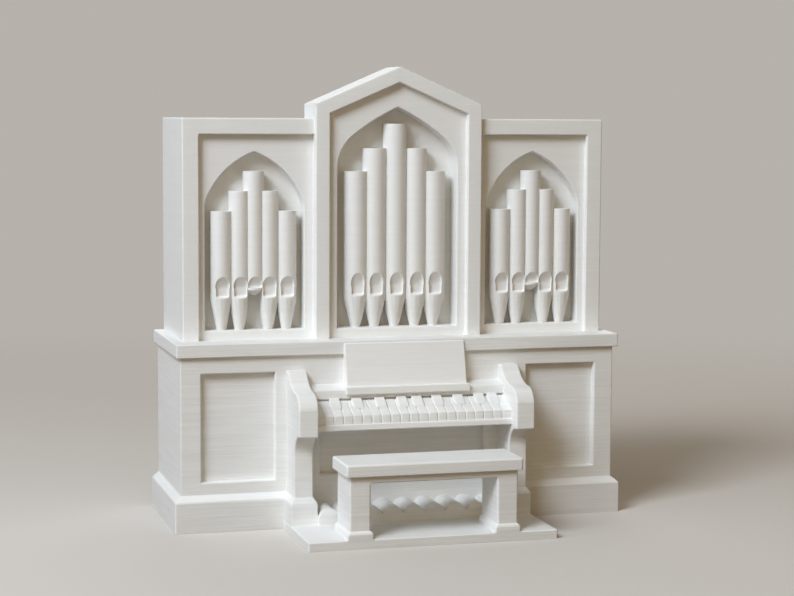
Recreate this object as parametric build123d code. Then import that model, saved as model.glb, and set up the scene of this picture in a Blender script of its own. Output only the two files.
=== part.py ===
from build123d import *
import os
from math import asin, atan2, cos, degrees, hypot, sin

# Pipe organ, a small printed scale model with its console, bench and pedals
# Millimetres, X to the right, Y to the back, Z up, origin under the middle of the model

# Plinth and lower case
plinth_width = 130.0
case_depth = 42.0            # plinth front to the flat back
plinth_height = 8.6          # upright face of the plinth
bevel_height = 1.6           # sloping top of the plinth
bevel_inset = 1.9
lower_case_height = 38.0     # plinth top to underside of the cornice
front_board = 4.0            # thickness of the lower front boards
panel_recess = 2.0
panel_stile = 5.7            # outer stile of the lower side panels
panel_width = 20.7
panel_top_rail = 4.6
panel_bottom_rail = 3.4
cornice_height = 3.8
cornice_overhang = 1.2

# Upper case
upper_inset = 3.7            # plinth end to the side of the upper case
side_bay_setback = 8.0       # plinth front to the front of the side bays
side_bay_height = 61.5
side_stile = 4.6
side_rail = 4.5
centre_width = 48.4
centre_setback = 6.2
centre_rise = 4.1            # eaves of the centre bay above the side bays
gable_rise = 10.5
gable_depth = 14.5
centre_frame = 4.1           # width of the stiles and rakes round the centre panel
arch_recess = 2.0            # frame front to the arched panel
niche_back = 14.4            # plinth front to the back wall of the niches
sill_height = 2.7
centre_arch = dict(rise=17.15, haunch=11.6, crown=60.5)
centre_arch_side = 2.6       # panel beside the arch
centre_arch_head = 6.9       # panel over the arch
side_arch = dict(rise=15.7, haunch=7.0, crown=23.1)
side_arch_inner = 2.55       # panel beside the arch, towards the middle
side_arch_outer = 1.95
side_arch_head = 4.75

# Pipes, five to a row, which share the width between the jambs of their arch
centre_pipes = dict(
    jamb_gap=2.7,            # jamb of the arch to the outer pipe
    overlaps=(0.85, 1.35),   # how far neighbours run into each other, from the middle out
    drops=(13.35, 6.9, 0, 6.9, 13.35),
    headroom=4.65,
    seat=0.7,
    mouth_rise=3.9,
)
side_pipes = dict(
    jamb_gap=1.85,
    overlaps=(1.8, 0.8),
    drops=(11.05, 5.45, 0, 5.45, 11.05),
    headroom=5.4,
    seat=0.1,
    mouth_rise=3.2,
)
foot_length = 8.3
foot_tip_diameter = 2.6
foot_flats = 16              # narrow flats round a foot, in place of a cone
mouth_above_foot = 0.7
mouth_pocket = 2.8           # mouth from its lip up to the crease
mouth_width = 3.7
mouth_depth = 1.5
mouth_round = 0.9            # lower corners of the pocket
mouth_floor_rise = 0.6       # floor of the pocket, from its lip to its back
mouth_scoop = 4.1            # diameter of the scoop above the crease
stub_lip = 0.6               # upright edge under the mouth of a pipe with no foot
stub_taper = 1.6
stub_tip_diameter = 1.4

# Console
slab_width = 69.5
slab_reach = 30.5            # plinth front to the front of the slab
slab_thickness = 2.5
cheek_gap = 56.4             # clear width between the cheeks
cheek_width = 5.4
cheek_nose_beyond = 3.9      # nose of the cheek in front of the keybed
cheek_nose_drop = 0.9        # nose of the cheek below the keybed
cheek_nose_height = 7.2
cheek_rise = 9.2             # top of the cheek above its nose
cheek_top_reach = 0.2        # plinth front to the front of the cheek's flat top
cheek_bend_back = 6.0        # nose to the place where the curve turns over
cheek_bend_height = 4.45     # the same place above the top of the nose
cheek_sweep_bulge = 1.0
cheek_brow_bulge = 1.4
cheek_column_reach = 8.0
cheek_cove_height = 5.4
cheek_cove_bulge = 1.75
cheek_base_side = 1.1        # base block beyond the column, each side and in front
keybed_reach = 10.6
keybed_bottom = 28.5
keybed_thickness = 1.8
knee_panel_stile = 4.2
knee_panel_bottom_rail = 4.2
natural_count = 21
natural_setback = 0.4        # keybed lip to the key fronts
natural_front_height = 2.3
natural_back_height = 5.5
key_back_reach = 3.0         # plinth front to the back of the keys
key_groove = 0.3
sharp_places = (-21.2, -14.9, -8.3, -2.0, 2.4, 8.2, 14.4, 20.6, 24.5)
sharp_width = 2.8
sharp_length = 4.0
sharp_height = 0.9
rail_front_height = 8.3      # key rail above the keybed
rail_back_height = 9.6
desk_width = 34.8
desk_below_cornice = 0.7     # top of the desk below the top of the cornice
desk_lip = 0.5               # desk top edge in front of the cornice
ledge_side = 0.5             # ledge beyond the desk, each side
ledge_depth = 1.3
ledge_height = 2.1
ledge_rise = 1.0             # ledge top above the front edge of the key rail
ledge_seat = 1.0             # how far the ledge reaches over the key rail

# Pedals
pedal_reach = 10.3
pedal_frame_height = 2.6
pedal_count = 9
pedal_gap = 0.45             # clear width between two pedals
pedal_height = 2.0

# Bench
bench_width = 49.4
bench_front_reach = 31.0
bench_depth = 16.0
bench_top = 22.7
bench_seat_thickness = 3.3
bench_corner_radius = 0.8    # upright corners of the seat
bench_edge_bevel = 0.4       # top edges of the seat
bench_leg_width = 5.8
bench_leg_span = 46.9        # outside to outside of the legs
bench_leg_inset = 1.2        # seat edge to the legs, front and back
bench_apron_height = 2.0
bench_foot_side = 0.7
bench_foot_height = 1.7
bench_foot_bevel = 0.6

# Places worked out from the sizes
front = (bench_front_reach - case_depth) / 2
back = front + case_depth
case_half = plinth_width / 2 - bevel_inset
case_front = front + bevel_inset
case_bottom = plinth_height + bevel_height
cornice_bottom = case_bottom + lower_case_height
cornice_top = cornice_bottom + cornice_height
cornice_front = case_front - cornice_overhang
upper_half = plinth_width / 2 - upper_inset
centre_half = centre_width / 2
side_front = front + side_bay_setback
centre_front = front + centre_setback
side_panel_front = side_front + arch_recess
centre_panel_front = centre_front + arch_recess
niche_wall = front + niche_back
side_top = cornice_top + side_bay_height
eaves = side_top + centre_rise
apex = eaves + gable_rise
rake_drop = centre_frame / cos(atan2(gable_rise, centre_half))
sill = cornice_top + sill_height
pipe_shoulder = sill + foot_length
mouth_crease = pipe_shoulder + mouth_above_foot + mouth_pocket
centre_panel_half = centre_half - centre_frame
centre_arch_half = centre_panel_half - centre_arch_side
centre_arch_top = apex - rake_drop - centre_arch_head
side_panel_edge = upper_half - side_stile
side_arch_half = (side_panel_edge - side_arch_outer - centre_half - side_arch_inner) / 2
side_arch_middle = centre_half + side_arch_inner + side_arch_half
side_arch_top = side_top - side_rail - side_arch_head
cheek_inner = cheek_gap / 2
cheek_outer = cheek_inner + cheek_width
keybed_top = keybed_bottom + keybed_thickness
key_back = front - key_back_reach
natural_front = front - keybed_reach + natural_setback
cheek_nose = front - keybed_reach - cheek_nose_beyond
cheek_column = front - cheek_column_reach
cheek_nose_bottom = keybed_bottom - cheek_nose_drop
cheek_nose_top = cheek_nose_bottom + cheek_nose_height
cheek_top = cheek_nose_top + cheek_rise
cheek_base_inner = cheek_inner - cheek_base_side
desk_top = cornice_top - desk_below_cornice
pedal_bed_top = slab_thickness + pedal_frame_height
bench_front = front - bench_front_reach
bench_back = bench_front + bench_depth
bench_under = bench_top - bench_seat_thickness


def block(x, y, z):
    """A box between two places on each axis."""
    size = [b - a for a, b in (x, y, z)]
    middle = [(a + b) / 2 for a, b in (x, y, z)]
    return Pos(*middle) * Box(*size)


def rectangle(x, y, z):
    """A level face between two places on X and Y."""
    middle = ((x[0] + x[1]) / 2, (y[0] + y[1]) / 2, z)
    return Pos(*middle) * Rectangle(x[1] - x[0], y[1] - y[0])


def bevelled_block(x, y, z, inset_x, inset_front, inset_back=0.0):
    """A block whose top slopes in on the sides and the front."""
    bottom, shoulder, top = z
    lower = block(x, y, (bottom, shoulder))
    narrow_x = (x[0] + inset_x, x[1] - inset_x)
    narrow_y = (y[0] + inset_front, y[1] - inset_back)
    upper = loft([rectangle(x, y, shoulder), rectangle(narrow_x, narrow_y, top)])
    return lower + upper


def side_profile(points, x):
    """A closed outline in Y and Z, extruded along X between two places."""
    outline = Polyline(*[(x[0], y, z) for y, z in points], close=True)
    return extrude(make_face(outline), amount=x[1] - x[0], dir=(1, 0, 0))


def front_profile(points, y):
    """A closed outline in X and Z, extruded along Y between two places."""
    outline = Polyline(*[(x, y[0], z) for x, z in points], close=True)
    return extrude(make_face(outline), amount=y[1] - y[0], dir=(0, 1, 0))


def bowed(start, end, bulge):
    """A shallow arc on X = 0 between two places in Y and Z, bulging to the left of its way."""
    along = (end[0] - start[0], end[1] - start[1])
    length = hypot(*along)
    middle_y = (start[0] + end[0]) / 2 - bulge * along[1] / length
    middle_z = (start[1] + end[1]) / 2 + bulge * along[0] / length
    return ThreePointArc((0, *start), (0, middle_y, middle_z), (0, *end))


def arch_opening(middle, top, half, y, rise, haunch, crown):
    """A pointed opening: small haunch arcs that run into long crown arcs."""
    spring = top - rise
    inner = half - haunch
    step = crown - haunch
    reach = hypot(rise, inner)
    wanted = (crown**2 - step**2 - rise**2 - inner**2) / (2 * step * reach)
    turn = atan2(inner, rise) + asin(wanted)
    crown_centre = (inner - step * cos(turn), -step * sin(turn))
    top_angle = atan2(rise - crown_centre[1], -crown_centre[0])
    mid_angle = (turn + top_angle) / 2

    def place(side, across, up):
        return (middle + side * across, y[0], spring + up)

    def half_outline(side):
        start = place(side, half, sill - spring)
        spring_point = place(side, half, 0)
        haunch_mid = place(side, inner + haunch * cos(turn / 2), haunch * sin(turn / 2))
        joint = place(side, inner + haunch * cos(turn), haunch * sin(turn))
        crown_mid = place(
            side,
            crown_centre[0] + crown * cos(mid_angle),
            crown_centre[1] + crown * sin(mid_angle),
        )
        point = place(side, 0, rise)
        return [
            Line(start, spring_point),
            ThreePointArc(spring_point, haunch_mid, joint),
            ThreePointArc(joint, crown_mid, point),
        ]

    base = Line(place(-1, half, sill - spring), place(1, half, sill - spring))
    face = make_face(half_outline(-1) + half_outline(1) + [base])
    return extrude(face, amount=y[1] - y[0], dir=(0, 1, 0))


def plinth():
    """The base of the case, cut back between the cheeks to the face of the case."""
    x = (-plinth_width / 2, plinth_width / 2)
    z = (0, plinth_height, case_bottom)
    solid = bevelled_block(x, (front, back), z, bevel_inset, bevel_inset)
    knee_x = (-cheek_base_inner, cheek_base_inner)
    return solid - block(knee_x, (front, case_front), (slab_thickness, case_bottom))


def lower_case():
    z = (case_bottom, cornice_bottom)
    return block((-case_half, case_half), (case_front + front_board, back), z)


def lower_front(side):
    """A framed panel beside the console."""
    z = (case_bottom, cornice_bottom)
    y = (case_front, case_front + front_board)
    board = block(sorted((side * case_half, side * cheek_inner)), y, z)
    panel_outer = case_half - panel_stile
    panel_x = sorted((side * panel_outer, side * (panel_outer - panel_width)))
    panel_z = (case_bottom + panel_bottom_rail, cornice_bottom - panel_top_rail)
    return board - block(panel_x, (case_front, case_front + panel_recess), panel_z)


def knee_panel():
    """The framed panel between the cheeks."""
    z = (case_bottom, cornice_bottom)
    y = (case_front, case_front + front_board)
    board = block((-cheek_inner, cheek_inner), y, z)
    half = cheek_inner - knee_panel_stile
    panel_z = (case_bottom + knee_panel_bottom_rail, keybed_bottom)
    return board - block((-half, half), (case_front, case_front + panel_recess), panel_z)


def cornice():
    half = case_half + cornice_overhang
    return block((-half, half), (cornice_front, back), (cornice_bottom, cornice_top))


def side_body(side):
    x = sorted((side * centre_half, side * upper_half))
    return block(x, (niche_wall, back), (cornice_top, side_top))


def side_stile_post(side):
    x = sorted((side * upper_half, side * side_panel_edge))
    return block(x, (side_front, niche_wall), (cornice_top, side_top))


def side_top_rail(side):
    x = sorted((side * centre_half, side * side_panel_edge))
    return block(x, (side_front, niche_wall), (side_top - side_rail, side_top))


def side_arch_panel(side):
    x = sorted((side * centre_half, side * side_panel_edge))
    y = (side_panel_front, niche_wall)
    board = block(x, y, (cornice_top, side_top - side_rail))
    middle = side * side_arch_middle
    return board - arch_opening(middle, side_arch_top, side_arch_half, y, **side_arch)


def centre_body():
    x = (-centre_half, centre_half)
    return block(x, (niche_wall, back), (cornice_top, side_top))


def gable():
    """The part of the centre bay that stands above the side bays, behind its front."""
    points = [
        (-centre_half, side_top),
        (centre_half, side_top),
        (centre_half, eaves),
        (0, apex),
        (-centre_half, eaves),
    ]
    return front_profile(points, (niche_wall, centre_front + gable_depth))


def gable_line(x, drop=0.0):
    """Height of the gable slope at a distance from the middle."""
    return apex - drop - abs(x) * gable_rise / centre_half


def centre_stile(side):
    inner = centre_panel_half
    points = [
        (side * centre_half, cornice_top),
        (side * centre_half, eaves),
        (side * inner, gable_line(inner, rake_drop)),
        (side * inner, cornice_top),
    ]
    return front_profile(points, (centre_front, niche_wall))


def centre_rake(side):
    inner = centre_panel_half
    points = [
        (0, apex),
        (side * centre_half, eaves),
        (side * inner, gable_line(inner, rake_drop)),
        (0, apex - rake_drop),
    ]
    return front_profile(points, (centre_front, niche_wall))


def centre_arch_panel():
    inner = centre_panel_half
    shoulder = gable_line(inner, rake_drop)
    points = [
        (-inner, cornice_top),
        (inner, cornice_top),
        (inner, shoulder),
        (0, apex - rake_drop),
        (-inner, shoulder),
    ]
    y = (centre_panel_front, niche_wall)
    board = front_profile(points, y)
    return board - arch_opening(0, centre_arch_top, centre_arch_half, y, **centre_arch)


def scoop_cut(x, surface, rise):
    """The upper part of a mouth: a leaning round bar, which goes in down to the crease."""
    radius = mouth_scoop / 2
    lean = atan2(mouth_depth, rise)
    y = surface + mouth_depth / 2 - radius * cos(lean)
    z = mouth_crease + rise / 2 - radius * sin(lean)
    length = 2 * (hypot(mouth_depth, rise) + mouth_scoop)
    bar = Pos(x, y, z) * Rot(degrees(lean), 0, 0) * Cylinder(radius, length)
    across = (x - radius, x + radius)
    deep = (surface - radius, surface + mouth_depth)
    return bar & block(across, deep, (mouth_crease, mouth_crease + rise))


def pocket_cut(x, surface):
    """The lower part of a mouth: a pocket with round corners and a sloping floor."""
    wide = (x - mouth_width / 2, x + mouth_width / 2)
    deep = surface + mouth_depth
    lip = mouth_crease - mouth_pocket
    cut = block(wide, (surface - mouth_depth, deep), (lip, mouth_crease))
    corners = cut.edges().filter_by(Axis.Y).group_by(Axis.Z)[0]
    under_floor = [
        (surface, lip),
        (deep, lip + mouth_floor_rise),
        (deep + 1, lip + mouth_floor_rise),
        (deep + 1, lip - 1),
        (surface, lip - 1),
    ]
    return fillet(corners, mouth_round) - side_profile(under_floor, wide)


def footed_body(x, y, radius, top):
    """A round body over a foot that tapers to its tip in narrow flats."""
    tip = foot_tip_diameter / 2
    spread = tip + (radius - tip) * (top - sill) / foot_length
    points = [(-tip, sill), (tip, sill), (spread, top), (-spread, top)]
    wedge = front_profile(points, (-spread, spread))
    body = Pos(0, 0, (sill + top) / 2) * Cylinder(radius, top - sill)
    for index in range(foot_flats // 2):
        body &= Rot(0, 0, index * 360 / foot_flats) * wedge
    return Pos(x, y, 0) * body


def footless_body(x, y, radius, top):
    """A round body that ends in a blunt stub under its mouth."""
    bottom = mouth_crease - stub_lip
    body = Pos(x, y, (bottom + top) / 2) * Cylinder(radius, top - bottom)
    return body + Pos(x, y, bottom - stub_taper / 2) * Cone(stub_tip_diameter / 2, radius, stub_taper)


def pipe(x, y, diameter, top, mouth_rise, with_foot):
    """One display pipe against the niche wall, with its mouth."""
    radius = diameter / 2
    if with_foot:
        body = footed_body(x, y, radius, top) - pocket_cut(x, y - radius)
    else:
        body = footless_body(x, y, radius, top)
    body -= scoop_cut(x, y - radius, mouth_rise)
    return body - block((x - diameter, x + diameter), (niche_wall, back), (sill - 1, top + 1))


def pipe_row(
    middle, arch_top, arch_half, jamb_gap, overlaps, drops, headroom, seat, mouth_rise, footless=()
):
    """A row of pipes against the niche wall, each cut where it meets its neighbour."""
    # Half a row holds two and a half pipes, less their overlaps
    diameter = (arch_half - jamb_gap + sum(overlaps)) / 2.5
    near = diameter - overlaps[0]
    far = near + diameter - overlaps[1]
    offsets = (-far, -near, 0, near, far)
    y = niche_wall - diameter / 2 + seat
    tops = [arch_top - headroom - drop for drop in drops]
    row = []
    for index, offset in enumerate(offsets):
        one = pipe(middle + offset, y, diameter, tops[index], mouth_rise, index not in footless)
        for other in (index - 1, index + 1):
            if not 0 <= other < len(offsets):
                continue
            plane = middle + (offset + offsets[other]) / 2
            away = diameter if other > index else -diameter
            beside = sorted((plane, plane + away))
            shared_top = min(tops[index], tops[other])
            one -= block(beside, (y - diameter, y + diameter), (sill, shared_top))
        row.append(one)
    return row


def console_slab():
    x = (-slab_width / 2, slab_width / 2)
    return block(x, (front - slab_reach, front), (0, slab_thickness))


def cheek(side, plinth_solid):
    """A bracket that carries the keybed on one side, with its base block."""
    case_foot = (case_front, case_bottom)
    column_foot = (cheek_column, case_bottom)
    cove = (cheek_column, cheek_nose_bottom - cheek_cove_height)
    nose_low = (cheek_nose, cheek_nose_bottom)
    nose_high = (cheek_nose, cheek_nose_top)
    bend = (cheek_nose + cheek_bend_back, cheek_nose_top + cheek_bend_height)
    top_front = (front - cheek_top_reach, cheek_top)
    top_back = (case_front, cheek_top)
    outline = [
        Line((0, *case_foot), (0, *column_foot)),
        Line((0, *column_foot), (0, *cove)),
        bowed(cove, nose_low, -cheek_cove_bulge),
        Line((0, *nose_low), (0, *nose_high)),
        bowed(nose_high, bend, cheek_brow_bulge),
        bowed(bend, top_front, -cheek_sweep_bulge),
        Line((0, *top_front), (0, *top_back)),
        Line((0, *top_back), (0, *case_foot)),
    ]
    solid = extrude(make_face(outline), amount=cheek_width, dir=(1, 0, 0))
    start = cheek_inner if side > 0 else -cheek_outer
    return Pos(start, 0, 0) * solid + cheek_base(side, plinth_solid)


def cheek_base(side, plinth_solid):
    """The base block of a cheek, with the same sloping top as the plinth."""
    x = sorted((side * cheek_base_inner, side * (cheek_outer + cheek_base_side)))
    y = (cheek_column - cheek_base_side, case_front)
    z = (slab_thickness, plinth_height, case_bottom)
    return bevelled_block(x, y, z, cheek_base_side, cheek_base_side) - plinth_solid


def keybed():
    y = (front - keybed_reach, case_front)
    return block((-cheek_inner, cheek_inner), y, (keybed_bottom, keybed_top))


def key_slope(y):
    """Height of the key tops at a place from front to back."""
    along = (y - natural_front) / (key_back - natural_front)
    rise = natural_back_height - natural_front_height
    return keybed_top + natural_front_height + rise * along


def natural_keys():
    """The sloping bank of keys, with a groove between each pair."""
    points = [
        (natural_front, keybed_top),
        (key_back, keybed_top),
        (key_back, key_slope(key_back)),
        (natural_front, key_slope(natural_front)),
    ]
    bank = side_profile(points, (-cheek_inner, cheek_inner))
    pitch = cheek_gap / natural_count
    cut = [
        (natural_front - 1, keybed_top),
        (natural_front + key_groove, keybed_top),
        (natural_front + key_groove, key_slope(natural_front) - key_groove),
        (key_back, key_slope(key_back) - key_groove),
        (key_back, key_slope(key_back) + 1),
        (natural_front - 1, key_slope(key_back) + 1),
    ]
    for index in range(1, natural_count):
        x = -cheek_inner + index * pitch
        bank -= side_profile(cut, (x - key_groove / 2, x + key_groove / 2))
    return bank


def sharp_keys():
    y = (key_back - sharp_length, key_back)
    points = [
        (y[0], key_slope(y[0])),
        (y[1], key_slope(y[1])),
        (y[1], key_slope(y[1]) + sharp_height),
        (y[0] + sharp_height, key_slope(y[0]) + sharp_height),
    ]
    half = sharp_width / 2
    return [side_profile(points, (x - half, x + half)) for x in sharp_places]


def key_rail():
    points = [
        (case_front, keybed_top),
        (case_front, keybed_top + rail_back_height),
        (key_back, keybed_top + rail_front_height),
        (key_back, keybed_top),
    ]
    return side_profile(points, (-cheek_inner, cheek_inner))


def rail_top(y):
    along = (y - key_back) / (case_front - key_back)
    return keybed_top + rail_front_height + (rail_back_height - rail_front_height) * along


def music_desk(rail_solid):
    """The sloping desk that stands on the key rail and leans on the cornice."""
    points = [
        (key_back, rail_top(key_back)),
        (case_front, rail_top(case_front)),
        (case_front, cornice_bottom),
        (cornice_front, cornice_bottom),
        (cornice_front, desk_top),
        (cornice_front - desk_lip, desk_top),
    ]
    return side_profile(points, (-desk_width / 2, desk_width / 2)) + desk_ledge(rail_solid)


def desk_ledge(rail_solid):
    """The lip along the foot of the desk, hooked over the front edge of the key rail."""
    half = desk_width / 2 + ledge_side
    top = rail_top(key_back) + ledge_rise
    y = (key_back - ledge_depth, key_back + ledge_seat)
    return block((-half, half), y, (top - ledge_height, top)) - rail_solid


def pedal_frame():
    """The low frame in the notch of the plinth, which the pedals lie on."""
    x = (-cheek_base_inner, cheek_base_inner)
    return block(x, (front - pedal_reach, case_front), (slab_thickness, pedal_bed_top))


def pedal_ends():
    """The side view of the pedals across the whole row: flat tops with rounded front ends."""
    y = front - pedal_reach
    top = pedal_bed_top + pedal_height
    turn = pedal_height * cos(atan2(1, 1))
    round_end = ThreePointArc(
        (0, y, pedal_bed_top),
        (0, y + pedal_height - turn, pedal_bed_top + turn),
        (0, y + pedal_height, top),
    )
    outline = [
        round_end,
        Line((0, y + pedal_height, top), (0, case_front, top)),
        Line((0, case_front, top), (0, case_front, pedal_bed_top)),
        Line((0, case_front, pedal_bed_top), (0, y, pedal_bed_top)),
    ]
    ends = extrude(make_face(outline), amount=2 * cheek_base_inner, dir=(1, 0, 0))
    return Pos(-cheek_base_inner, 0, 0) * ends


def pedal_bars():
    """Round-topped pedals that run from front to back."""
    pitch = 2 * cheek_base_inner / pedal_count
    half = (pitch - pedal_gap) / 2
    y = front - pedal_reach
    ends = pedal_ends()
    bars = []
    for index in range(pedal_count):
        x = (index + 0.5) * pitch - cheek_base_inner
        left = (x - half, y, pedal_bed_top)
        right = (x + half, y, pedal_bed_top)
        crown = (x, y, pedal_bed_top + pedal_height)
        outline = [Line(left, right), ThreePointArc(right, crown, left)]
        bars.append(extrude(make_face(outline), amount=case_front - y, dir=(0, 1, 0)) & ends)
    return bars


def bench_seat():
    """A board with round corners and bevelled top edges."""
    x = (-bench_width / 2, bench_width / 2)
    seat = block(x, (bench_front, bench_back), (bench_under, bench_top))
    seat = fillet(seat.edges().filter_by(Axis.Z), bench_corner_radius)
    return chamfer(seat.faces().sort_by(Axis.Z)[-1].edges(), bench_edge_bevel)


def bench_leg(side):
    outer = bench_leg_span / 2
    x = sorted((side * outer, side * (outer - bench_leg_width)))
    y = (bench_front + bench_leg_inset, bench_back - bench_leg_inset)
    bottom = slab_thickness + bench_foot_height + bench_foot_bevel
    return block(x, y, (bottom, bench_under)) + bench_foot(side)


def bench_foot(side):
    """The wider block under a bench leg."""
    outer = bench_leg_span / 2 + bench_foot_side
    inner = bench_leg_span / 2 - bench_leg_width - bench_foot_side
    y = (
        bench_front + bench_leg_inset - bench_foot_side,
        bench_back - bench_leg_inset + bench_foot_side,
    )
    shoulder = slab_thickness + bench_foot_height
    z = (slab_thickness, shoulder, shoulder + bench_foot_bevel)
    x = sorted((side * outer, side * inner))
    return bevelled_block(x, y, z, bench_foot_side, bench_foot_side, bench_foot_side)


def bench_apron():
    half = bench_leg_span / 2 - bench_leg_width
    y = (bench_front + bench_leg_inset, bench_back - bench_leg_inset)
    return block((-half, half), y, (bench_under - bench_apron_height, bench_under))


def all_pieces():
    """Every piece by the name of its node."""
    plinth_solid = plinth()
    rail_solid = key_rail()
    pieces = {
        "plinth": plinth_solid,
        "lower_case": lower_case(),
        "lower_fronts": [lower_front(side) for side in (-1, 1)],
        "knee_panel": knee_panel(),
        "cornice": cornice(),
        "centre_case": centre_body(),
        "gable": gable(),
        "centre_arch_panel": centre_arch_panel(),
        "centre_stiles": [centre_stile(side) for side in (-1, 1)],
        "side_stiles": [side_stile_post(side) for side in (-1, 1)],
        "side_rails": [side_top_rail(side) for side in (-1, 1)],
        "console_slab": console_slab(),
        "keybed": keybed(),
        "natural_keys": natural_keys(),
        "sharp_keys": sharp_keys(),
        "key_rail": rail_solid,
        "music_desk": music_desk(rail_solid),
        "pedal_frame": pedal_frame(),
        "pedals": pedal_bars(),
        "bench_seat": bench_seat(),
        "bench_apron": bench_apron(),
        "bench_legs": [bench_leg(side) for side in (-1, 1)],
    }
    for name, side in (("left", -1), ("right", 1)):
        pieces["side_case_" + name] = side_body(side)
        pieces["side_arch_panel_" + name] = side_arch_panel(side)
        pieces["gable_rake_" + name] = centre_rake(side)
        pieces["cheek_" + name] = cheek(side, plinth_solid)
        middle = side * side_arch_middle
        row = pipe_row(middle, side_arch_top, side_arch_half, footless=(2,), **side_pipes)
        for index, one in enumerate(row, 1):
            pieces[f"pipe_{name}_{index}"] = one
    row = pipe_row(0, centre_arch_top, centre_arch_half, **centre_pipes)
    for index, one in enumerate(row, 1):
        pieces[f"pipe_centre_{index}"] = one
    return pieces


def solids_of(shape):
    """The solids of one piece, whether it is one shape or several."""
    shapes = shape if isinstance(shape, list) else [shape]
    return [solid for one in shapes for solid in one.solids()]


os.makedirs("parts", exist_ok=True)
for node, shape in all_pieces().items():
    solids = solids_of(shape)
    whole = solids[0] if len(solids) == 1 else Compound(children=solids)
    export_step(whole, "parts/" + node + ".step")
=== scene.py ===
import math

import bmesh
import bpy
from mathutils import Matrix, Vector
from mathutils.bvhtree import BVHTree


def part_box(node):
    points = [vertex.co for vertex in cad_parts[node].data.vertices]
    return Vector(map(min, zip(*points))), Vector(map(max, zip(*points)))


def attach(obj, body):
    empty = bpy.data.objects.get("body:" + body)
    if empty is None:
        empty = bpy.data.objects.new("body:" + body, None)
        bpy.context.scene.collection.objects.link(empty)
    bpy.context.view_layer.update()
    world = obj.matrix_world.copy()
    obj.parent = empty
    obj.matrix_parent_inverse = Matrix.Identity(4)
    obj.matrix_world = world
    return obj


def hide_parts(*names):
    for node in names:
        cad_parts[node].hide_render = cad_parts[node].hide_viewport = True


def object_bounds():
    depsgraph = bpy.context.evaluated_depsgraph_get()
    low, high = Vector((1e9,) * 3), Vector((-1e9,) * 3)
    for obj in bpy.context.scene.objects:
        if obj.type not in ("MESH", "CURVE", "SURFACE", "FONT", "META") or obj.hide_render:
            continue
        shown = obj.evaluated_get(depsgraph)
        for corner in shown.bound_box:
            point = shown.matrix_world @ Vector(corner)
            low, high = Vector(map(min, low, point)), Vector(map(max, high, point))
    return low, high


# Dresses a printed model organ: the free edges of each solid are rounded, the pipes get round
# mouths and the key rail its slot, and all of it is one white plastic under soft lamps
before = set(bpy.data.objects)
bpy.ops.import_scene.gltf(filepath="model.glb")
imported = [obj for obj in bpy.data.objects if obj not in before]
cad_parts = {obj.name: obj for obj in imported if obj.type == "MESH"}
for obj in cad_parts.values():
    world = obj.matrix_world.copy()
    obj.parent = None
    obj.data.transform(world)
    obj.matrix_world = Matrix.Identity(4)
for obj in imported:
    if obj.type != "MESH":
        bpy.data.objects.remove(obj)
cad_low, cad_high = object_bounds()

MM = 0.001

# Camera, fitted to the corners of the case
CAMERA_PLACE = Vector((-149.25, -526.56, 114.01)) * MM
CAMERA_YAW = math.radians(15.74)      # from +Y towards +X
CAMERA_PITCH = math.radians(-5.31)
CAMERA_ROLL = math.radians(0.29)
SENSOR_WIDTH = 36.0                   # millimetres, as the focal length is
FOCAL_LENGTH = 88.37
CLIP_START = 0.05                     # metres
CLIP_END = 20

# Layers of the print: each shows as a bead that wobbles by a share of its height
LAYER_HEIGHT = 0.2 * MM
LAYER_WOBBLE = 0.25 * LAYER_HEIGHT
BEAD_POWER = 0.6                      # below 1, the bead is round with a narrow groove

# Noises of the print: grains per metre along each axis, detail and roughness
WOBBLE = ((30, 30, 500), 2, 0.5)
BANDS = ((30, 30, 2600), 3, 0.6)
STREAKS = ((45, 45, 1500), 3, 0.6)
BLOTCHES = ((90, 90, 140), 4, 0.6)

# Relief of the print, as shares of the bump's distance
BEAD_RELIEF = 0.35
BAND_RELIEF = 2.4
STREAK_RELIEF = 2.0
BUMP = {"Strength": 0.5, "Distance": 0.05 * MM}

# Colour of the print: its pattern of streaks and blotches, mapped to shades of the plastic
PLASTIC = (0.86, 0.86, 0.84, 1)
STREAK_SHARE = 0.75
PATTERN_RANGE = (0.33, 0.62)
LIGHTEST_SHADE = 1.02
SHADE_RANGE = 0.08
ROUGHNESS = (0.46, 0.64)
GLOSS_AND_DEPTH = {
    "IOR": 1.46,
    "Subsurface Weight": 0.15,
    "Subsurface Radius": (1.0, 0.9, 0.8),
    "Subsurface Scale": 0.6 * MM,
}

# How strong the bands and streaks are: fine on the desk and on what stands over UPPER_WORKS
FINE = 0.45
COARSE = 1.0
UPPER_WORKS = 50 * MM

# Rounding of the free outer edges, and the pieces or kinds of piece that take another one
EDGE_ROUND = 0.35 * MM
OTHER_ROUNDS = {
    "natural_keys": 0.2 * MM,
    "sharp_keys": 0.2 * MM,
    "pedals": 0.15 * MM,
    "music_desk": 0.25 * MM,
    "pedal_frame": 0.2 * MM,
    "pipe": 0,                        # a rounding tears the thin lips of the mouths
    "cheek": 0.6 * MM,
    "bench": 0.45 * MM,
}
ROUND_SEGMENTS = 3
ROUND_PROFILE = 0.5
FLAT_ANGLE = math.radians(0.5)        # faces that meet under this are one flat face
SHARP_ANGLE = math.radians(32)
RUN_OUT_ANGLE = math.radians(3)
WELD_REACH = 0.001 * MM
CUT_WELD_REACH = 0.005 * MM

# Where an edge is tested for a neighbour: just outside the piece and just under its faces
COVER_STEP = 0.5 * MM
FEWEST_TESTS = 2
MOST_TESTS = 90
HALVINGS = 6                          # that find the place where the cover ends
PROBE = 0.08 * MM
SUNK = 0.04 * MM
RAY_WAY = Vector((0.3127, 0.5431, 0.7793)).normalized()      # askew to all the faces
RAY_STEP = 1e-7
MOST_CROSSINGS = 64

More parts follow.
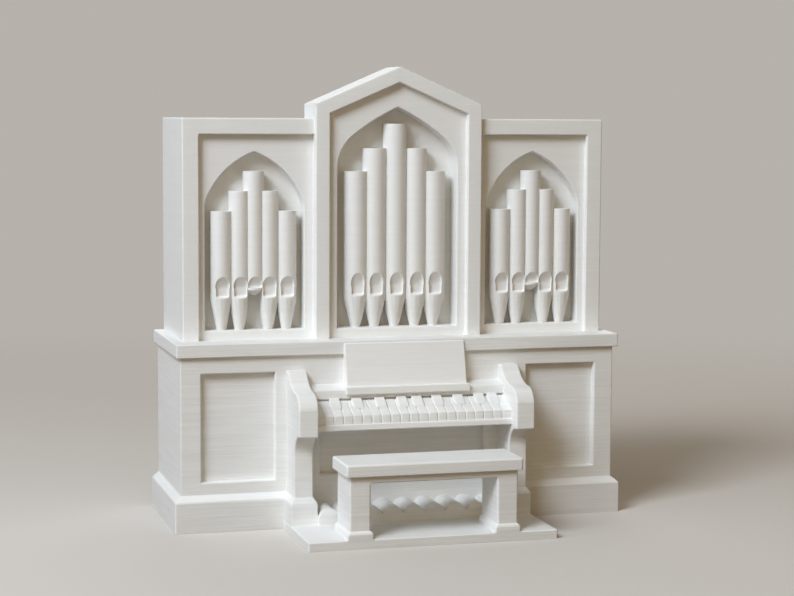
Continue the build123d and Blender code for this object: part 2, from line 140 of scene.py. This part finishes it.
# Upper part of the pipe mouths, over the crease: a scoop with a half-oval top
MOUTH_CREASE = 66.5 * MM
MOUTH_HALF_WIDTH = 2.0 * MM
MOUTH_DEPTH = 1.52 * MM
MOUTH_UPRIGHT = 0.2                   # share of the rise where the sides are upright
MOUTH_FADE = 1.4                      # power by which the depth falls towards the top
PIPE_RADIUS = {"centre": 3.4 * MM, "left": 2.95 * MM, "right": 2.95 * MM}
MOUTH_RISE = {"centre": 3.8 * MM, "left": 3.2 * MM, "right": 3.2 * MM}
FOOT_TIP = 0.01 * MM                  # height of the slice that gives the pipe's middle

# The scoop's tool: its rows and columns, and how far it reaches beyond what it cuts
SCOOP_ROWS = 20
SCOOP_COLUMNS = 24
SCOOP_TOP = 0.998                     # of the rise, so that the top row isn't a point
SCOOP_BELOW = 0.02 * MM
SCOOP_SKIN = 0.03 * MM
SCOOP_FRONT = 1 * MM

# Slot in the key rail, over the back ends of the keys
SLOT_HEIGHT = 0.6 * MM
SLOT_DEPTH = 1.0 * MM
SLOT_END = 0.2 * MM                   # of the keys' width left whole at each end
SLOT_BELOW = 0.1 * MM                 # its bottom, under the top of the keys

# Light: each lamp's azimuth from the front towards the right and its elevation, in degrees,
# its side in metres and its power in watts for red, green and blue
LAMP_DISTANCE = 0.9
LAMPS = {
    "window": (-50, 38, 0.36, (5.60, 6.15, 6.85)),
    "window_high": (-40, 62, 0.42, (0.45, 0.50, 0.52)),
    "window_side": (-75, 20, 0.42, (1.25, 1.25, 1.25)),
    "room_front": (-15, 12, 0.50, (0.62, 0.42, 0.16)),
    "room_right": (55, 25, 0.50, (0.65, 0.48, 0.28)),
    "room_back": (160, 24, 0.70, (2.30, 2.20, 2.05)),
}
SKY = {"Color": (1.0, 0.78, 0.52, 1), "Strength": 0.09}
BACKDROP = {"Color": (0.47, 0.445, 0.41, 1)}

# Floor: its colour as seen and as it lights the object, and where it fades into the backdrop
FLOOR_SEEN = (0.70, 0.66, 0.61, 1)
FLOOR_BOUNCE = (0.20, 0.16, 0.125, 1)
FLOOR_RADIUS = 3.0
FLOOR_SEGMENTS = 96
FLOOR_GAP = 0.02 * MM
FLOOR_FADE = (0.14, 0.6)


def node_tools(tree):
    """Short hands for adding a shader node, with its sockets and settings, and a link."""
    def add(kind, sockets=None, **settings):
        node = tree.nodes.new(kind)
        for name, value in settings.items():
            setattr(node, name, value)
        for name, value in (sockets or {}).items():
            node.inputs[name].default_value = value
        return node
    return add, tree.links.new


def new_material(name):
    material = bpy.data.materials.new(name)
    material.use_nodes = True
    material.node_tree.nodes.clear()
    return material


def math_node(add, link, operation, *values):
    """The result of a sum on numbers or on the outputs of other nodes."""
    node = add("ShaderNodeMath", operation=operation)
    for socket, value in zip(node.inputs, values):
        if isinstance(value, (int, float)):
            socket.default_value = value
        else:
            link(value, socket)
    return node.outputs[0]


def weighted_sum(add, link, *terms):
    total = None
    for value, weight in terms:
        term = math_node(add, link, "MULTIPLY", value, weight)
        total = term if total is None else math_node(add, link, "ADD", total, term)
    return total


def map_range(add, link, value, source, target=(0.0, 1.0), interpolation="LINEAR"):
    sockets = {
        "From Min": source[0],
        "From Max": source[1],
        "To Min": target[0],
        "To Max": target[1],
    }
    node = add("ShaderNodeMapRange", sockets, interpolation_type=interpolation)
    link(value, node.inputs["Value"])
    return node.outputs[0]


def stretched_noise(add, link, place, grain, detail, roughness):
    mapping = add("ShaderNodeMapping", {"Scale": grain})
    link(place, mapping.inputs["Vector"])
    noise = add("ShaderNodeTexNoise", {"Scale": 1.0, "Detail": detail, "Roughness": roughness})
    link(mapping.outputs[0], noise.inputs["Vector"])
    return noise.outputs["Fac"]


def layer_beads(add, link, place):
    """A rounded bead for each layer of the print."""
    split = add("ShaderNodeSeparateXYZ")
    link(place, split.inputs[0])
    wobble = stretched_noise(add, link, place, *WOBBLE)
    height = math_node(add, link, "MULTIPLY", wobble, LAYER_WOBBLE)
    height = math_node(add, link, "ADD", split.outputs["Z"], height)
    bead = math_node(add, link, "PINGPONG", height, LAYER_HEIGHT / 2)
    bead = math_node(add, link, "MULTIPLY", bead, 2 / LAYER_HEIGHT)
    return math_node(add, link, "POWER", bead, BEAD_POWER)


def print_colour(add, link, streaks, blotches, strength):
    """The plastic's colour, uneven as the layers catch the light."""
    pattern = weighted_sum(add, link, (streaks, STREAK_SHARE), (blotches, 1 - STREAK_SHARE))
    shades = (LIGHTEST_SHADE - SHADE_RANGE * strength, LIGHTEST_SHADE)
    shade = map_range(add, link, pattern, PATTERN_RANGE, shades)
    grey = add("ShaderNodeCombineColor")
    for socket in grey.inputs:
        link(shade, socket)
    colour = add(
        "ShaderNodeMix", {"Factor": 1.0, "A": PLASTIC}, data_type="RGBA", blend_type="MULTIPLY"
    )
    link(grey.outputs[0], colour.inputs["B"])
    return colour.outputs["Result"]


def printed_plastic(name, strength):
    """White printed plastic: layer lines, uneven bands of layers, faint blotches."""
    material = new_material(name)
    add, link = node_tools(material.node_tree)
    place = add("ShaderNodeTexCoord").outputs["Object"]
    bead = layer_beads(add, link, place)
    bands = stretched_noise(add, link, place, *BANDS)
    streaks = stretched_noise(add, link, place, *STREAKS)
    blotches = stretched_noise(add, link, place, *BLOTCHES)

    relief = weighted_sum(
        add, link,
        (bead, BEAD_RELIEF),
        (bands, BAND_RELIEF * strength),
        (streaks, STREAK_RELIEF * strength),
    )
    bump = add("ShaderNodeBump", BUMP)
    link(relief, bump.inputs["Height"])

    shader = add("ShaderNodeBsdfPrincipled", GLOSS_AND_DEPTH)
    link(print_colour(add, link, streaks, blotches, strength), shader.inputs["Base Color"])
    link(map_range(add, link, blotches, (0.0, 1.0), ROUGHNESS), shader.inputs["Roughness"])
    link(bump.outputs[0], shader.inputs["Normal"])
    output = add("ShaderNodeOutputMaterial")
    link(shader.outputs[0], output.inputs["Surface"])
    return material


def cleaned(mesh, reach):
    """The mesh with its doubled corners merged and its flat faces whole, turned outwards."""
    bmesh.ops.remove_doubles(mesh, verts=mesh.verts, dist=reach)
    bmesh.ops.dissolve_limit(mesh, angle_limit=FLAT_ANGLE, verts=mesh.verts, edges=mesh.edges)
    bmesh.ops.recalc_face_normals(mesh, faces=mesh.faces)
    return mesh


def cad_mesh(name):
    mesh = bmesh.new()
    mesh.from_mesh(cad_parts[name].data)
    return cleaned(mesh, WELD_REACH)


def new_object(name, mesh):
    """An object in the scene that takes the mesh over."""
    data = bpy.data.meshes.new(name)
    mesh.to_mesh(data)
    mesh.free()
    thing = bpy.data.objects.new(name, data)
    bpy.context.scene.collection.objects.link(thing)
    return thing


def inside(tree, point):
    """Whether a closed mesh holds the point, by how often a ray leaves it."""
    crossings = 0
    start = point
    while crossings < MOST_CROSSINGS:
        hit = tree.ray_cast(start, RAY_WAY)[0]
        if hit is None:
            break
        crossings += 1
        start = hit + RAY_WAY * RAY_STEP
    return crossings % 2 == 1


def held(name, point, trees, boxes):
    """Whether the ground or a piece other than the named one holds the point."""
    if point.z < 0:
        return True
    for other, (low, high) in boxes.items():
        if other == name:
            continue
        if all(low[i] <= point[i] <= high[i] for i in range(3)) and inside(trees[other], point):
            return True
    return False


def free_stretches(name, edge, trees, boxes):
    """The stretches of an outer edge, as shares of its length, that nothing covers."""
    a, b = (face.normal for face in edge.link_faces)
    offsets = (a * PROBE - b * SUNK, b * PROBE - a * SUNK, (a + b) * PROBE)
    start, end = (vertex.co for vertex in edge.verts)

    def is_open(share):
        place = start.lerp(end, share)
        return not any(held(name, place + offset, trees, boxes) for offset in offsets)

    def turning_place(first, second):
        wanted = is_open(first)
        for _ in range(HALVINGS):
            middle = (first + second) / 2
            if is_open(middle) == wanted:
                first = middle
            else:
                second = middle
        return (first + second) / 2

    count = math.ceil(edge.calc_length() / COVER_STEP)
    count = max(FEWEST_TESTS, min(MOST_TESTS, count))
    shares = [(index + 0.5) / count for index in range(count)]
    states = [is_open(share) for share in shares]
    turns = [
        turning_place(shares[index - 1], shares[index])
        for index in range(1, count)
        if states[index] != states[index - 1]
    ]
    limits = [0.0, *turns, 1.0]
    stretches = list(zip(limits, limits[1:]))
    return stretches[0::2] if states[0] else stretches[1::2]


def rounded_shares(stretches, length, width):
    """The stretches, drawn back from the cover by the rounding's width, that are long enough."""
    run_out = width / length
    shares = []
    for low_share, high_share in stretches:
        first = low_share if low_share == 0 else low_share + run_out
        last = high_share if high_share == 1 else high_share - run_out
        if (last - first) * length > width or (first, last) == (0.0, 1.0):
            shares.append((first, last))
    return shares


def split_off(edge, shares):
    """The parts of an edge at the given shares, which it is split for."""
    parts = []
    corner = edge.verts[0]
    passed = 0.0
    for first, last in shares:
        if first > passed:
            corner = bmesh.utils.edge_split(edge, corner, (first - passed) / (1 - passed))[1]
            passed = first
        if last < 1:
            part, corner = bmesh.utils.edge_split(edge, corner, (last - passed) / (1 - passed))
            passed = last
            parts.append(part)
        else:
            parts.append(edge)
    return parts


def free_edges(name, mesh, trees, boxes, width):
    """The sharp outer edges of a piece, split so that those with no other piece at them are whole."""
    sharp = [
        edge
        for edge in mesh.edges
        if len(edge.link_faces) == 2 and edge.is_convex and edge.calc_face_angle() > SHARP_ANGLE
    ]
    found = [(edge, free_stretches(name, edge, trees, boxes)) for edge in sharp]
    free = []
    for edge, stretches in found:
        free += split_off(edge, rounded_shares(stretches, edge.calc_length(), width))
    return free


def scoop_row(mesh, place, radius, rise, row):
    """The corners of the scoop's tool at one height, on its plain front and its round back."""
    up = rise * math.sin(math.pi / 2 * row / SCOOP_ROWS) * SCOOP_TOP
    straight = MOUTH_UPRIGHT * rise
    over = max(0.0, up - straight) / (rise - straight)
    half = MOUTH_HALF_WIDTH * math.sqrt(1 - over ** 2)
    depth = MOUTH_DEPTH * (1 - (up / rise) ** MOUTH_FADE)
    front, back = [], []
    for column in range(SCOOP_COLUMNS + 1):
        turn = math.pi * (column / SCOOP_COLUMNS - 0.5)
        x = half * math.sin(turn)
        surface = radius - math.sqrt(radius ** 2 - x ** 2)
        y = surface - SCOOP_SKIN + (depth + SCOOP_SKIN) * math.cos(turn)
        back.append(mesh.verts.new(place + Vector((x, y, up))))
        front.append(mesh.verts.new(place + Vector((x, -SCOOP_FRONT, up))))
    return front, back


def scoop_tool(place, radius, rise):
    """The solid that a mouth's scoop takes out of the front of a round pipe."""
    mesh = bmesh.new()
    rows = [scoop_row(mesh, place, radius, rise, row) for row in range(SCOOP_ROWS + 1)]
    for (front, back), (next_front, next_back) in zip(rows, rows[1:]):
        for column in range(SCOOP_COLUMNS):
            for low, high in ((front, next_front), (back, next_back)):
                mesh.faces.new((low[column], low[column + 1], high[column + 1], high[column]))
        for column in (0, SCOOP_COLUMNS):
            mesh.faces.new((front[column], back[column], next_back[column], next_front[column]))
    for front, back in (rows[0], rows[-1]):
        mesh.faces.new(front + back[::-1])
    bmesh.ops.recalc_face_normals(mesh, faces=mesh.faces)
    return mesh


def without(mesh, tool):
    """The mesh with the tool's solid taken away."""
    tool = new_object("tool", tool)
    body = new_object("body", mesh)
    cut = body.modifiers.new("cut", "BOOLEAN")
    cut.operation = "DIFFERENCE"
    cut.solver = "EXACT"
    cut.object = tool
    shaped = bpy.data.meshes.new_from_object(body.evaluated_get(bpy.context.evaluated_depsgraph_get()))
    result = bmesh.new()
    result.from_mesh(shaped)
    for thing in (tool, body):
        old = thing.data
        bpy.data.objects.remove(thing)
        bpy.data.meshes.remove(old)
    bpy.data.meshes.remove(shaped)
    return cleaned(result, CUT_WELD_REACH)


def with_round_mouth(name, mesh):
    """The pipe with the upper part of its mouth opened to a half-oval top."""
    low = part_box(name)[0]
    foot = [vertex.co.x for vertex in mesh.verts if vertex.co.z < low.z + FOOT_TIP]
    middle = (min(foot) + max(foot)) / 2
    place = Vector((middle, low.y, MOUTH_CREASE - SCOOP_BELOW))
    bay = name.split("_")[1]
    return without(mesh, scoop_tool(place, PIPE_RADIUS[bay], MOUTH_RISE[bay]))


def with_slot(mesh):
    """The key rail with a slot along the back ends of the keys."""
    low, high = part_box("natural_keys")
    size = Vector((high.x - low.x - 2 * SLOT_END, 2 * SLOT_DEPTH, SLOT_HEIGHT))
    place = Vector(((low.x + high.x) / 2, high.y, high.z + SLOT_HEIGHT / 2 - SLOT_BELOW))
    tool = bmesh.new()
    bmesh.ops.create_cube(tool, size=1)
    bmesh.ops.scale(tool, vec=size, verts=tool.verts)
    bmesh.ops.translate(tool, vec=place, verts=tool.verts)
    return without(mesh, tool)


def cut_mesh(name):
    """The CAD node's mesh, with its round mouth or its slot if it has one."""
    mesh = cad_mesh(name)
    if name.startswith("pipe_"):
        return with_round_mouth(name, mesh)
    if name == "key_rail":
        return with_slot(mesh)
    return mesh


def round_width(name):
    """The rounding of a piece's kind, or else its own, or else the common one."""
    kind = name.split("_")[0]
    return OTHER_ROUNDS.get(kind, OTHER_ROUNDS.get(name, EDGE_ROUND))


def round_edges(mesh, edges, width):
    bmesh.ops.bevel(
        mesh,
        geom=edges,
        offset=width,
        offset_type="OFFSET",
        segments=ROUND_SEGMENTS,
        profile=ROUND_PROFILE,
        affect="EDGES",
        clamp_overlap=True,
    )


def shade_smooth(mesh):
    """Shades the mesh smooth but for its sharp edges and the places where a rounding runs out."""
    bmesh.ops.recalc_face_normals(mesh, faces=mesh.faces)
    for face in mesh.faces:
        face.smooth = True
    for edge in mesh.edges:
        if len(edge.link_faces) == 2:
            edge.smooth = edge.calc_face_angle() < SHARP_ANGLE
    for vertex in mesh.verts:
        # A single sharp edge at a corner goes on as a rounding
        if sum(not edge.smooth for edge in vertex.link_edges) == 1:
            for edge in vertex.link_edges:
                if len(edge.link_faces) == 2 and edge.calc_face_angle() > RUN_OUT_ANGLE:
                    edge.smooth = False


def build_piece(name, trees, boxes, material):
    """The printed piece: the CAD solid with its free edges rounded as a nozzle leaves them."""
    mesh = cut_mesh(name)
    width = round_width(name)
    edges = free_edges(name, mesh, trees, boxes, width) if width else []
    if edges:
        round_edges(mesh, edges, width)
    shade_smooth(mesh)
    piece = new_object("print_" + name, mesh)
    piece.data.materials.append(material)
    even = piece.modifiers.new("even_normals", "WEIGHTED_NORMAL")
    even.keep_sharp = True
    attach(piece, "root")
    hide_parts(name)


def build_pieces():
    names = sorted(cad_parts)
    trees = {}
    boxes = {}
    for name in names:
        mesh = cad_mesh(name)
        trees[name] = BVHTree.FromBMesh(mesh)
        mesh.free()
        boxes[name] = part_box(name)
    fine = printed_plastic("printed_plastic_fine", FINE)
    coarse = printed_plastic("printed_plastic_coarse", COARSE)
    for name in names:
        is_fine = boxes[name][0].z > UPPER_WORKS or name == "music_desk"
        build_piece(name, trees, boxes, fine if is_fine else coarse)


def seen(add, link):
    """1 where the camera looks, also by gloss or through glass, and 0 for other light."""
    path = add("ShaderNodeLightPath")
    direct = math_node(add, link, "MAXIMUM", path.outputs["Is Camera Ray"], path.outputs["Is Glossy Ray"])
    return math_node(add, link, "MAXIMUM", direct, path.outputs["Is Transmission Ray"])


def mixed_shader(add, link, share, first, second):
    mix = add("ShaderNodeMixShader")
    link(share, mix.inputs["Fac"])
    link(first.outputs[0], mix.inputs[1])
    link(second.outputs[0], mix.inputs[2])
    return mix


def floor_material():
    """A pale floor that fades into the backdrop; other surfaces see it darker."""
    material = new_material("floor")
    add, link = node_tools(material.node_tree)
    colour = add("ShaderNodeMix", {"A": FLOOR_BOUNCE, "B": FLOOR_SEEN}, data_type="RGBA")
    link(seen(add, link), colour.inputs["Factor"])
    surface = add("ShaderNodeBsdfDiffuse")
    link(colour.outputs["Result"], surface.inputs["Color"])
    clear = add("ShaderNodeBsdfTransparent")
    length = add("ShaderNodeVectorMath", operation="LENGTH")
    link(add("ShaderNodeTexCoord").outputs["Object"], length.inputs[0])
    fade = map_range(add, link, length.outputs["Value"], FLOOR_FADE, interpolation="SMOOTHSTEP")
    mix = mixed_shader(add, link, fade, surface, clear)
    output = add("ShaderNodeOutputMaterial")
    link(mix.outputs[0], output.inputs["Surface"])
    return material


def build_floor():
    mesh = bmesh.new()
    bmesh.ops.create_circle(mesh, cap_ends=True, radius=FLOOR_RADIUS, segments=FLOOR_SEGMENTS)
    floor = new_object("floor", mesh)
    floor.location.z = cad_low.z - FLOOR_GAP
    floor.data.materials.append(floor_material())


def build_world():
    """A weak warm sky that lights the object, behind a plain backdrop that doesn't."""
    world = bpy.data.worlds.new("studio")
    bpy.context.scene.world = world
    world.use_nodes = True
    world.node_tree.nodes.clear()
    add, link = node_tools(world.node_tree)
    sky = add("ShaderNodeBackground", SKY)
    backdrop = add("ShaderNodeBackground", BACKDROP)
    mix = mixed_shader(add, link, seen(add, link), sky, backdrop)
    output = add("ShaderNodeOutputWorld")
    link(mix.outputs[0], output.inputs["Surface"])


def build_lamps():
    middle = (cad_low + cad_high) / 2
    for name, (azimuth, elevation, side, power) in LAMPS.items():
        turn = math.radians(azimuth)
        rise = math.radians(elevation)
        way = Vector((
            math.sin(turn) * math.cos(rise),
            -math.cos(turn) * math.cos(rise),
            math.sin(rise),
        ))
        light = bpy.data.lights.new(name, "AREA")
        light.shape = "SQUARE"
        light.size = side
        light.energy = max(power)
        light.color = [value / max(power) for value in power]
        lamp = bpy.data.objects.new(name, light)
        lamp.location = middle + way * LAMP_DISTANCE
        lamp.rotation_mode = "QUATERNION"
        lamp.rotation_quaternion = (-way).to_track_quat("-Z", "Y")
        bpy.context.scene.collection.objects.link(lamp)


def build_camera():
    data = bpy.data.cameras.new("camera")
    data.sensor_width = SENSOR_WIDTH
    data.lens = FOCAL_LENGTH
    data.clip_start = CLIP_START
    data.clip_end = CLIP_END
    camera = bpy.data.objects.new("camera", data)
    turn = Matrix.Rotation(-CAMERA_YAW, 4, "Z")
    tilt = Matrix.Rotation(math.radians(90) + CAMERA_PITCH, 4, "X")
    roll = Matrix.Rotation(CAMERA_ROLL, 4, "Z")
    camera.matrix_world = Matrix.Translation(CAMERA_PLACE) @ turn @ tilt @ roll
    bpy.context.scene.collection.objects.link(camera)
    bpy.context.scene.camera = camera


bpy.context.scene.view_settings.view_transform = "Standard"
build_camera()
build_world()
build_lamps()
build_floor()
build_pieces()
